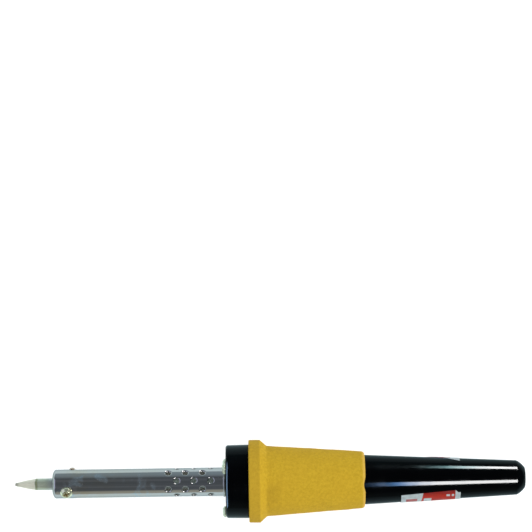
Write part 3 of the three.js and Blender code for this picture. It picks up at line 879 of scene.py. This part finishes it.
def label():
    """A film wrapped round the handle, with both of its long edges on a slant and one corner cut off."""
    rows, columns = 24, 120
    vertices, faces = [], []
    for height in (LABEL["lift"], LABEL["lift"] + LABEL["thickness"]):
        for i in range(rows + 1):
            share = i / rows
            station = LABEL["start"] + (LABEL["end"] - LABEL["start"]) * share
            first, last = (at_start + (at_end - at_start) * share for at_start, at_end in LABEL_EDGES)
            if share > LABEL_CORNER["share"]:
                first -= LABEL_CORNER["cut"]
            for j in range(columns + 1):
                turn = math.radians(first + (last - first) * j / columns)
                vertices.append(round_spot(station, turn, handle_radius(station) + height))
    layer = (rows + 1) * (columns + 1)

    def face(*corners):
        faces.append([level * layer + i * (columns + 1) + j for level, i, j in corners])

    for i in range(rows):
        for j in range(columns):
            for level in (0, 1):
                face((level, i, j), (level, i + 1, j), (level, i + 1, j + 1), (level, i, j + 1))
        for j in (0, columns):
            face((0, i, j), (0, i + 1, j), (1, i + 1, j), (1, i, j))
    for j in range(columns):
        for i in (0, rows):
            face((0, i, j), (0, i, j + 1), (1, i, j + 1), (1, i, j))
    place(mesh_of("label_fine", vertices, faces), LABEL_FILM, "iron", "label_film", "label")


handle()
inlet_bush()
label()

# ---- foam grip


def foam_grip():
    """The foam sleeve: soft rounded edges, an uneven rear edge and a faintly lumpy skin."""
    start, end = GRIP["start"], GRIP["end"]
    depth, drop = GRIP_EDGE["depth"], GRIP_EDGE["drop"]
    rear = GRIP_RADIUS["rear"]
    rear_edge = [(end - depth * (1 - math.sin(t)), rear - drop * (1 - math.cos(t)), 0) for t in quarter(8)]
    outline = filleted(
        [
            (start, handle_radius(start) + GAP, 0.3),
            (start, GRIP_RADIUS["flare"] - 0.1, 0.6),
            (GRIP["flare_end"], GRIP_RADIUS["flare"] - 0.05, 0.5),
            (GRIP["cone_end"], GRIP_RADIUS["front"], 1.4),
            *rear_edge,
            (end, handle_radius(end) + GAP, 0.1),
        ]
    )

    def lumpy(spot):
        """The spot moved with the skin's swells, the front face's lean and the rear edge's waves and dent."""
        radius = math.hypot(spot.y, spot.z)
        outwards = Vector((0, spot.y, spot.z)) / radius
        skin = min(1.0, max(0.0, (radius - handle_radius(spot.x) - GAP) / 1.2))
        swell = noise.noise(spot / 9) * 0.16 + noise.noise(spot / 2.6) * 0.07 + noise.noise(spot / 0.9) * 0.04
        near_end = max(0.0, 1 - (end - spot.x) / 6)
        beside = (spot.y - GRIP_DENT["side"]) / GRIP_DENT["width"]
        dent = GRIP_DENT["depth"] * math.exp(-(beside**2)) * (spot.z > 0)
        wave = (noise.noise(outwards * 1.7 + Vector((3.1, 0, 0))) * 0.5 - dent) * near_end
        near_start = max(0.0, 1 - (spot.x - start) / 4)
        lean = noise.noise(outwards * 1.1 + Vector((9.4, 0, 0))) * 0.15 * near_start
        push = min(0.0, wave) + max(0.0, lean) * skin
        return spot + outwards * (swell + 0.1) * skin + Vector((push, 0, 0))

    mesh = turned("grip_fine", refined(outline, 0.45), 288, lumpy, sharp=70)
    piece = place(mesh, FOAM, "iron", "yellow_foam", "grip")


foam_grip()

# ---- inside pieces


def ring(node, sizes, material, slot, sides=64, offset=0.0):
    """A round sleeve with eased edges in place of a CAD node, on the iron's axis or to the left of it."""
    start, end, bore, radius, fillet = (sizes[key] for key in ("start", "end", "bore", "radius", "fillet"))
    corners = ((start, bore), (start, radius), (end, radius), (end, bore))
    mesh = turned(f"{node}_fine", filleted([(*corner, fillet) for corner in corners], 3), sides)
    mesh.transform(Matrix.Translation((0, offset * MM, 0)))
    place(mesh, material, "iron", slot, node)


def inside():
    """The former, the mica, the leads' sleeves and the coiled winding, which are made again."""
    ring("heater_core", INNER_RINGS["heater_core"], CERAMIC, "ceramic")
    ring("mica_sleeve", INNER_RINGS["mica_sleeve"], MICA, "mica")
    for number, offset in ((1, LEAD_OFFSET), (2, -LEAD_OFFSET)):
        ring(f"lead_sleeve_{number}", INNER_RINGS["lead_sleeve"], SLEEVING, "glass_sleeving", 32, offset)
    turns, start, radius = WINDING["turns"], WINDING["start"], WINDING["radius"]
    steps = turns * 24
    coil = []
    for k in range(steps + 1):
        turn = 2 * math.pi * turns * k / steps - math.pi / 2
        coil.append(round_spot(start + (WINDING["end"] - start) * k / steps, turn, radius))
    mesh = tube_along("heater_winding_fine", coil, WINDING["wire"], 8)
    place(mesh, WIRE, "iron", "resistance_wire", "heater_winding")


CARRIED = {
    "tip_holder": (STEEL, "plain_steel"),
    "ceramic_insulator": (CERAMIC, "ceramic"),
    "lead_wire_1": (WIRE, "resistance_wire"),
    "lead_wire_2": (WIRE, "resistance_wire"),
    "terminal_block": (NYLON, "white_nylon"),
    "earth_tag": (BRASS, "brass"),
    "earth_wire": (GREEN, "green_wire"),
    **{f"terminal_insert_{number}": (BRASS, "brass") for number in range(1, 4)},
    **{f"terminal_screw_{number}": (ZINC, "zinc_plate") for number in range(1, 7)},
}


def eased(name):
    """A copy of a CAD node's mesh with its edges eased."""
    width, weld = 0.12 * MM, 0.001 * MM
    mesh = frame["nodes"][name].data.copy()
    mesh.name = f"{name}_fine"
    work = bmesh.new()
    work.from_mesh(mesh)
    bmesh.ops.remove_doubles(work, verts=work.verts, dist=weld)
    bmesh.ops.dissolve_limit(work, angle_limit=math.radians(1), verts=work.verts, edges=work.edges)
    sharp = [edge for edge in work.edges if edge.calc_face_angle(0) > math.radians(40)]
    bmesh.ops.bevel(
        work, geom=sharp, offset=width, segments=2, profile=0.5, affect="EDGES", clamp_overlap=True
    )
    work.to_mesh(mesh)
    work.free()
    mesh.shade_smooth()
    mesh.set_sharp_from_angle(angle=math.radians(30))
    return mesh


def carried_nodes():
    """The inner pieces that keep their CAD shape, with eased edges and their real materials."""
    for name, (material, slot) in CARRIED.items():
        stand_in(eased(name), material, "iron", slot, name)


inside()
carried_nodes()

# ---- floor, lights and camera

# from the iron to the camera and the soft lights
STUDIO_REACH = 1500


def floor():
    """A plain white sheet, six metres out each way, that gloss doesn't see."""
    mesh = bpy.data.meshes.new("floor")
    reach = 6.0
    corners = [(-reach, -reach, 0), (reach, -reach, 0), (reach, reach, 0), (-reach, reach, 0)]
    mesh.from_pydata(corners, [], [(0, 1, 2, 3)])
    sheet = linked("floor", mesh)
    look = Look("floor_white")
    look.set("Base Color", look.mix(look.noise(3, 2), rgb(244, 244, 244), rgb(247, 247, 247)))
    look.set("Roughness", 0.9)
    mesh.materials.append(look.material)
    sheet.visible_glossy = False


def surroundings():
    """A dim studio with soft patches, and pale walls to the iron's left and right.

    Below the horizon it is what gloss shows for the floor, which reflections pass through: pale, and dimmer
    under the iron.
    """
    world = bpy.data.worlds.new("studio")
    bpy.context.scene.world = world
    world.use_nodes = True
    sky = Nodes(world.node_tree, "Generated")
    height = sky.add("ShaderNodeSeparateXYZ", Vector=sky.position).outputs["Z"]
    across = sky.add("ShaderNodeSeparateXYZ", Vector=sky.position).outputs["Y"]
    patches = sky.noise(2.6, 2, 0.5)
    colour = (0.1, 0.12, 0.135, 1)
    # a measure of the direction, where it starts and ends, and the colour that then lies over the others
    layers = (
        (patches, 0.35, 0.75, (0.185, 0.21, 0.235, 1)),
        (across, 0.58, 1.02, (0.33, 0.43, 0.48, 1)),
        (across, -0.84, -0.99, (0.50, 0.52, 0.45, 1)),
        (height, -0.03, -0.12, (0.9, 1.12, 1.16, 1)),
        (height, -0.4, -0.95, (0.55, 0.7, 0.73, 1)),
    )
    for measure, low, high, over in layers:
        colour = sky.mix(sky.between(measure, low, high), colour, over)
    sky.put(sky.tree.nodes["Background"].inputs["Color"], colour)


def area_light(name, centre, aim, width, height, radiance, colour=(1, 1, 1)):
    """An area light given by its radiance. Its width runs along the iron. Places are in the iron's axes."""
    light = bpy.data.lights.new(name, "AREA")
    light.shape = "RECTANGLE"
    light.size, light.size_y = width * MM, height * MM
    light.energy = radiance * math.pi * light.size * light.size_y
    light.color = colour
    lamp = linked(name, light)
    back = (Vector(centre) - Vector(aim)).normalized()
    side = (Vector((1, 0, 0)) - back * back.x).normalized()
    pose = Matrix((side, back.cross(side), back)).transposed().to_4x4()
    pose.translation = Vector(centre) * MM
    lamp.matrix_world = TOOL @ pose
    return lamp


def collection_of(name, *pieces):
    """A collection of pieces by name, for a lamp to light."""
    group = bpy.data.collections.new(name)
    for piece in pieces:
        group.objects.link(bpy.data.objects[piece])
    return group


def light_only(lamp, receivers, glossy_only=False):
    """Keeps a lamp's light to a collection of pieces, and to what their gloss shows of it."""
    lamp.light_linking.receiver_collection = receivers
    lamp.visible_diffuse = not glossy_only


def strip(name, angle, height, radiance, receivers, fade, colour=(1, 1, 1), power=1.0, slices=7):
    """A strip light along the iron, seen only as a reflection in some pieces.

    It fades in over the fade's stretch, in slices, and its colour turns white on the way.
    """
    reach, far_end = 600, 760
    out = round_spot(0, math.radians(angle), reach)
    fade_start, fade_end = fade
    edges = [fade_start + (fade_end - fade_start) * k / slices for k in range(slices + 1)] + [far_end]
    for number, (start, end) in enumerate(zip(edges, edges[1:])):
        share = min(1.0, (number + 0.5) / slices)
        middle = Vector(((start + end) / 2, 0, 0))
        tint = tuple(c + (1 - c) * share**5 for c in colour)
        faded = radiance * share**power
        lamp = area_light(f"{name}_{number}", middle + out, middle, end - start, height, faded, tint)
        light_only(lamp, receivers, glossy_only=True)


def soft_lights():
    """Even light on the floor, the pieces and what the vents show, none of it seen in gloss."""
    middle = Vector((LENGTH / 2, 0, 0))
    above = Vector((0, 0, STUDIO_REACH))
    fill = area_light("floor_fill", middle + above, middle, 9000, 9000, 1.5)
    fill.data.use_shadow = False
    light_only(fill, collection_of("floor_only", "floor"))
    pieces_only = collection_of("all_but_floor", "floor")
    pieces_only.collection_objects[0].light_linking.link_state = "EXCLUDE"
    overhead = area_light("overhead", middle + above + Vector((0, -20, 0)), middle, 2400, 2400, 0.85)
    lean = math.radians(50)
    side = STUDIO_REACH * Vector((math.sin(lean), -0.04, math.cos(lean)))
    key = area_light("key", middle + side, middle, 900, 900, 5.5)
    for lamp in (overhead, key):
        light_only(lamp, pieces_only)
    vents = Vector((VENT["start"], 0, 0))
    inner = area_light("inner_fill", vents + above, vents, 2400, 2400, 2)
    inner.data.use_shadow = False
    sleeves = [f"lead_sleeve_{number}_fine" for number in (1, 2)]
    light_only(inner, collection_of("seen_through_vents", "barrel_fine", *sleeves))
    for lamp in (fill, overhead, key, inner):
        lamp.visible_glossy = False


def gloss_lights():
    """The handle's long highlights, the metal's thin ones, and the glow on surfaces that face forwards."""
    side_angle, top_angle = 66, -25
    plastic = collection_of("handle_and_label", "handle_fine", "label_fine")
    strip("side_strip", side_angle, 165, 320, plastic, (298, 338), (0.5, 0.95, 1), 1.7)
    strip("top_strip", top_angle, 185, 320, plastic, (268, 304), (0.02, 0.36, 1), 1.6)
    screws = [f"flange_screw_{number}_fine" for number in (1, 2, 3)]
    metal = collection_of("bright_metal", "barrel_fine", "tip_screw_fine", *screws)
    strip("side_glint", side_angle, 200, 9, metal, (290, 310), slices=1)
    strip("top_glint", top_angle, 190, 9, metal, (290, 310), slices=1)
    front = Vector((PLATE["front"], 0, 0))
    sheen = area_light("front_sheen", front + Vector((-600, -100, 350)), front, 800, 2600, 90, (0.4, 0.65, 1))
    light_only(sheen, plastic, glossy_only=True)
    vents = Vector((VENT["start"], 0, 0))
    card = area_light("front_card", vents + Vector((-490, 0, 340)), vents, 500, 700, 0.9, (0.68, 0.74, 1))
    light_only(card, metal, glossy_only=True)


def camera():
    """Square on to the iron, which spans the frame and lies low in it, its cord end a little higher.

    The iron's length and its drop below the middle are shares of the frame's width.
    """
    width_share = 0.96053
    drop_share = 0.4042
    aim_station = LENGTH / 2 - 2.3
    roll = math.radians(0.83)
    scale = width_share / LENGTH
    drop = math.atan(drop_share / (scale * STUDIO_REACH))
    # the lens that keeps the iron's span and the angle down to it depend on each other
    for _ in range(4):
        lens_share = scale * STUDIO_REACH * math.cos(drop)
        drop = math.atan(drop_share / lens_share)
    data = bpy.data.cameras.new("camera")
    data.sensor_width = 36.0
    data.lens = lens_share * data.sensor_width
    data.clip_start = 0.01
    right = Vector((math.cos(roll), -math.sin(roll), 0))
    up_flat = Vector((math.sin(roll), math.cos(roll), 0))
    outwards = Vector((0, 0, 1))
    up = up_flat * math.cos(drop) + outwards * math.sin(drop)
    pose = Matrix((right, up, right.cross(up))).transposed().to_4x4()
    pose.translation = Vector((aim_station, 0, STUDIO_REACH)) * MM
    viewer = linked("camera", data)
    viewer.matrix_world = TOOL @ pose
    bpy.context.scene.camera = viewer


floor()
surroundings()
soft_lights()
gloss_lights()
camera()
bpy.context.scene.view_settings.view_transform = "Standard"
